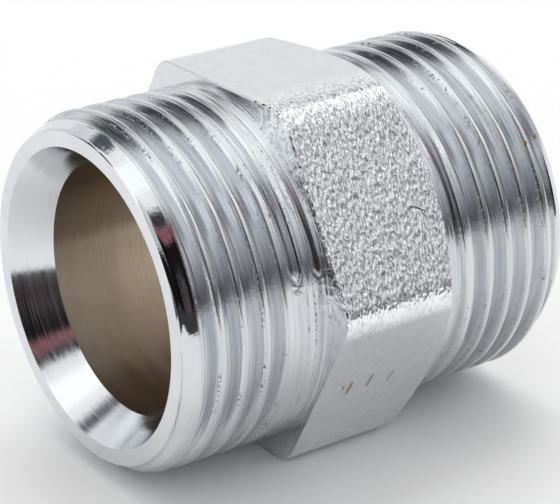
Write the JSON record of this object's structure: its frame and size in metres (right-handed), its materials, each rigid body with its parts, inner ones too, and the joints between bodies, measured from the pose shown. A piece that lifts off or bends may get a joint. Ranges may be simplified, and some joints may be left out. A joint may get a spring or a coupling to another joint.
{
  "type": "hex nipple",
  "caption": "Straight pipe nipple with a spanner hexagon between two externally threaded ends, a through bore and a conical seat in each mouth.",
  "frame": {"origin": "on the bore axis, half way between the two end faces", "axes": "+X along the bore from the front end to the rear end, +Z square to a flat of the hexagon, so that one flat faces down"},
  "size_m": [0.0336, 0.0304, 0.027],
  "materials": {
    "bright_chrome": "bright plating over turned brass",
    "satin_chrome": "satin plating over a grainy forged surface",
    "seat_chrome": "bright plating over a turned cone",
    "bare_brass": "bare drilled brass, dulled by the plating bath"
  },
  "bodies": {
    "root": {"front_threaded_end": "bright_chrome", "rear_threaded_end": "bright_chrome", "hex_collar": "satin_chrome", "front_cone_seat": "seat_chrome", "rear_cone_seat": "seat_chrome", "bore_wall": "bare_brass"}
  },
  "joints": []
}
